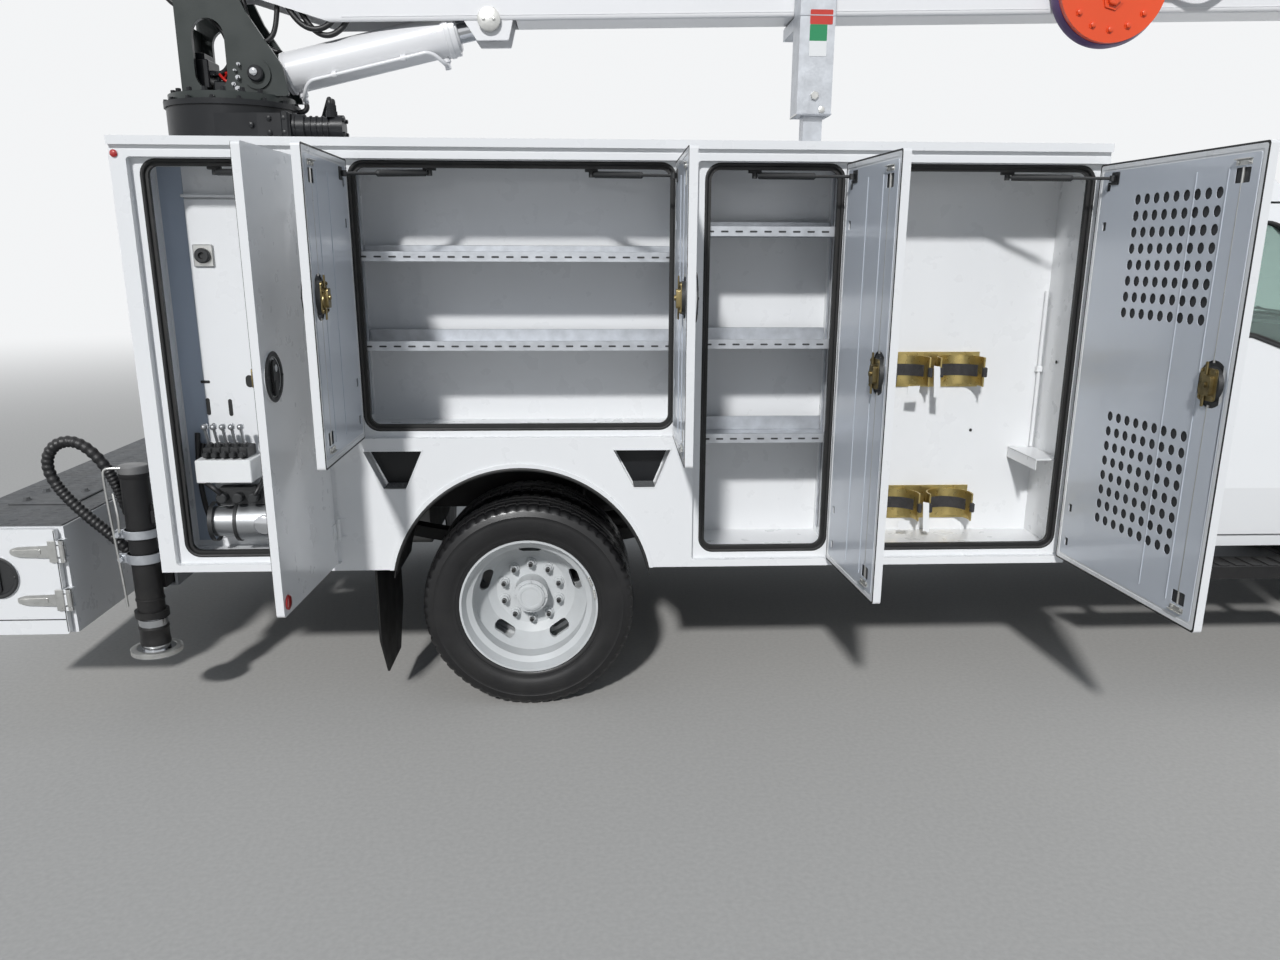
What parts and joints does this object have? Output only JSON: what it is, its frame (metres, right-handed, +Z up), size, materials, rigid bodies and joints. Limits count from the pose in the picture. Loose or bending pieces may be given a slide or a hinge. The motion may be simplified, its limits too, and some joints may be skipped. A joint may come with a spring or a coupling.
{
  "type": "service crane truck",
  "caption": "Two-axle chassis cab with a white service body, open side doors, a slewing telescopic crane, outriggers and a locker bumper.",
  "frame": {"origin": "on the ground under the middle of the truck's overall box, side doors open as parked", "axes": "+X forward, +Y to the truck's left, +Z up"},
  "size_m": [7.39, 3.2776, 2.908],
  "materials": {
    "body_paint": "white powder coat",
    "cab_paint": "gloss white",
    "boom_paint": "gloss white",
    "crane_paint": "dark grey satin",
    "black_steel": "black chassis paint",
    "galvanised": "galvanised",
    "tyre_rubber": "matte",
    "wheel_paint": "grey-white satin",
    "glass": "tinted",
    "seat_fabric": "woven",
    "dark_plastic": "grained",
    "lamp": "clear lens",
    "engine_metal": "cast",
    "hydraulic_metal": "machined and painted",
    "brass_plate": "yellow zinc plate",
    "rubber": "matte",
    "rod_chrome": "polished",
    "hook_paint": "orange-red"
  },
  "bodies": {
    "chassis": {"axles": "black_steel", "bed": "body_paint", "body_left": "body_paint", "body_right": "body_paint", "boom_support": "galvanised", "bottle_brackets": "brass_plate", "cab_glass": "glass", "cab_shell": "cab_paint", "crane_base": "crane_paint", "dashboard": "dark_plastic", "engine": "engine_metal", "frame": "black_steel", "front_bumper": "black_steel", "front_fenders": "cab_paint", "fuel_tank": "engine_metal", "grille": "dark_plastic", "headlamps": "lamp", "hydraulics": "hydraulic_metal", "mud_flaps": "rubber", "outrigger_tube": "galvanised", "seats": "seat_fabric", "shelves": "galvanised", "work_bumper": "body_paint"},
    "rear_wheel_right": {"rear_wheels_right": "wheel_paint", "rear_tyres_right": "tyre_rubber"},
    "knuckle_right": {"knuckle_right": "black_steel"},
    "front_wheel_right": {"front_wheel_right": "wheel_paint", "front_tyre_right": "tyre_rubber"},
    "cab_door_right_body": {"cab_door_right": "cab_paint", "door_glass_right": "glass"},
    "rear_wheel_left": {"rear_wheels_left": "wheel_paint", "rear_tyres_left": "tyre_rubber"},
    "knuckle_left": {"knuckle_left": "black_steel"},
    "front_wheel_left": {"front_wheel_left": "wheel_paint", "front_tyre_left": "tyre_rubber"},
    "cab_door_left_body": {"cab_door_left": "cab_paint", "door_glass_left": "glass"},
    "hood_body": {"hood": "cab_paint"},
    "side_door_right_rear_body": {"side_door_right_rear": "body_paint"},
    "side_door_right_wheel_rear_body": {"side_door_right_wheel_rear": "body_paint"},
    "side_door_right_wheel_front_body": {"side_door_right_wheel_front": "body_paint"},
    "side_door_right_middle_body": {"side_door_right_middle": "body_paint"},
    "side_door_right_front_body": {"side_door_right_front": "body_paint"},
    "side_door_left_rear_body": {"side_door_left_rear": "body_paint"},
    "side_door_left_wheel_body": {"side_door_left_wheel": "body_paint"},
    "side_door_left_front_a_body": {"side_door_left_front_a": "body_paint"},
    "side_door_left_front_b_body": {"side_door_left_front_b": "body_paint"},
    "tailgate_body": {"tailgate": "body_paint"},
    "bumper_door_body": {"bumper_door": "body_paint"},
    "turret_body": {"turret": "crane_paint"},
    "boom": {"boom_base": "boom_paint", "hook_block": "hook_paint"},
    "boom_section_1": {"boom_ext1": "boom_paint"},
    "boom_section_2": {"boom_ext2": "boom_paint"},
    "lift_barrel_body": {"lift_barrel": "boom_paint"},
    "lift_rod_body": {"lift_rod": "rod_chrome"},
    "outrigger_right": {"outrigger_beam_right": "black_steel"},
    "leg_right": {"outrigger_leg_right": "rod_chrome"},
    "outrigger_left": {"outrigger_beam_left": "black_steel"},
    "leg_left": {"outrigger_leg_left": "rod_chrome"}
  },
  "joints": [
    {"name": "rear_right_spin", "type": "hinge", "parent": "chassis", "child": "rear_wheel_right", "pos_m": [-1.588, -0.51731, 0.398], "axis": [0, 1, 0], "continuous": true},
    {"name": "steer_right", "type": "hinge", "parent": "chassis", "child": "knuckle_right", "pos_m": [2.705, -0.45731, 0.398], "axis": [0, 0, 1], "range_deg": [-35, 35]},
    {"name": "front_right_spin", "type": "hinge", "parent": "knuckle_right", "child": "front_wheel_right", "pos_m": [2.705, -0.55731, 0.398], "axis": [0, 1, 0], "continuous": true},
    {"name": "cab_door_right_swing", "type": "hinge", "parent": "chassis", "child": "cab_door_right_body", "pos_m": [1.796, -0.60931, 1], "axis": [0, 0, 1], "range_deg": [0, 65]},
    {"name": "rear_left_spin", "type": "hinge", "parent": "chassis", "child": "rear_wheel_left", "pos_m": [-1.588, 1.30269, 0.398], "axis": [0, 1, 0], "continuous": true},
    {"name": "steer_left", "type": "hinge", "parent": "chassis", "child": "knuckle_left", "pos_m": [2.705, 1.24269, 0.398], "axis": [0, 0, 1], "range_deg": [-35, 35]},
    {"name": "front_left_spin", "type": "hinge", "parent": "knuckle_left", "child": "front_wheel_left", "pos_m": [2.705, 1.34269, 0.398], "axis": [0, 1, 0], "continuous": true},
    {"name": "cab_door_left_swing", "type": "hinge", "parent": "chassis", "child": "cab_door_left_body", "pos_m": [1.796, 1.39469, 1], "axis": [0, 0, -1], "range_deg": [0, 65]},
    {"name": "hood_lift", "type": "hinge", "parent": "chassis", "child": "hood_body", "pos_m": [2.092, 0.39269, 1.318], "axis": [0, -1, 0], "range_deg": [0, 50]},
    {"name": "side_door_right_rear_swing", "type": "hinge", "parent": "chassis", "child": "side_door_right_rear_body", "pos_m": [-2.253, -0.81131, 1.3], "axis": [0, 0, -1], "range_deg": [0, 87.2]},
    {"name": "side_door_right_wheel_rear_swing", "type": "hinge", "parent": "chassis", "child": "side_door_right_wheel_rear_body", "pos_m": [-2.172, -0.81131, 1.3], "axis": [0, 0, 1], "range_deg": [0, 89.7]},
    {"name": "side_door_right_wheel_front_swing", "type": "hinge", "parent": "chassis", "child": "side_door_right_wheel_front_body", "pos_m": [-1.023, -0.81131, 1.3], "axis": [0, 0, -1], "range_deg": [0, 89]},
    {"name": "side_door_right_middle_swing", "type": "hinge", "parent": "chassis", "child": "side_door_right_middle_body", "pos_m": [-0.452, -0.81131, 1.3], "axis": [0, 0, -1], "range_deg": [0, 93.7]},
    {"name": "side_door_right_front_swing", "type": "hinge", "parent": "chassis", "child": "side_door_right_front_body", "pos_m": [0.413, -0.81131, 1.3], "axis": [0, 0, -1], "range_deg": [0, 93.6]},
    {"name": "side_door_left_rear_swing", "type": "hinge", "parent": "chassis", "child": "side_door_left_rear_body", "pos_m": [-2.842, 1.59669, 1.3], "axis": [0, 0, 1], "range_deg": [0, 100]},
    {"name": "side_door_left_wheel_swing", "type": "hinge", "parent": "chassis", "child": "side_door_left_wheel_body", "pos_m": [-2.172, 1.59669, 1.3], "axis": [0, 0, 1], "range_deg": [0, 100]},
    {"name": "side_door_left_front_a_swing", "type": "hinge", "parent": "chassis", "child": "side_door_left_front_a_body", "pos_m": [-0.983, 1.59669, 1.3], "axis": [0, 0, 1], "range_deg": [0, 100]},
    {"name": "side_door_left_front_b_swing", "type": "hinge", "parent": "chassis", "child": "side_door_left_front_b_body", "pos_m": [0.413, 1.59669, 1.3], "axis": [0, 0, -1], "range_deg": [0, 100]},
    {"name": "tailgate_fold", "type": "hinge", "parent": "chassis", "child": "tailgate_body", "pos_m": [-2.905, 0.39269, 1.004], "axis": [0, -1, 0], "range_deg": [0, 90]},
    {"name": "bumper_door_swing", "type": "hinge", "parent": "chassis", "child": "bumper_door_body", "pos_m": [-3.216, -0.83631, 0.545], "axis": [0, 0, 1], "range_deg": [0, 95]},
    {"name": "crane_slew", "type": "hinge", "parent": "chassis", "child": "turret_body", "pos_m": [-2.618, -0.36731, 2.183], "axis": [0, 0, 1], "range_deg": [0, 345]},
    {"name": "boom_luff", "type": "hinge", "parent": "turret_body", "child": "boom", "pos_m": [-2.718, -0.36731, 2.6], "axis": [0, -1, 0], "range_deg": [0, 75]},
    {"name": "boom_extend_1", "type": "slide", "parent": "boom", "child": "boom_section_1", "axis": [0.9997, 0, 0.0232], "range_m": [0, 1.8]},
    {"name": "boom_extend_2", "type": "slide", "parent": "boom_section_1", "child": "boom_section_2", "axis": [0.9997, 0, 0.0232], "range_m": [0, 1.8]},
    {"name": "lift_barrel_swing", "type": "hinge", "parent": "turret_body", "child": "lift_barrel_body", "pos_m": [-2.493, -0.36731, 2.275], "axis": [0, -1, 0], "range_deg": [0, 70.17]},
    {"name": "lift_rod_slide", "type": "slide", "parent": "lift_barrel_body", "child": "lift_rod_body", "axis": [0.9741, 0, 0.2263], "range_m": [0, 0.47461]},
    {"name": "outrigger_beam_right_slide", "type": "slide", "parent": "chassis", "child": "outrigger_right", "axis": [0, -1, 0], "range_m": [0, 0.45]},
    {"name": "outrigger_leg_right_slide", "type": "slide", "parent": "outrigger_right", "child": "leg_right", "axis": [0, 0, -1], "range_m": [0, 0.245]},
    {"name": "outrigger_beam_left_slide", "type": "slide", "parent": "chassis", "child": "outrigger_left", "axis": [0, 1, 0], "range_m": [0, 0.45]},
    {"name": "outrigger_leg_left_slide", "type": "slide", "parent": "outrigger_left", "child": "leg_left", "axis": [0, 0, -1], "range_m": [0, 0.245]}
  ],
  "couplings": [
    {"joint": "steer_left", "follows": "steer_right", "ratio": 1},
    {"joint": "lift_barrel_swing", "follows": "boom_luff", "ratio": 0.92223},
    {"joint": "lift_rod_slide", "follows": "boom_luff", "m_per_rad": 0.35875}
  ]
}
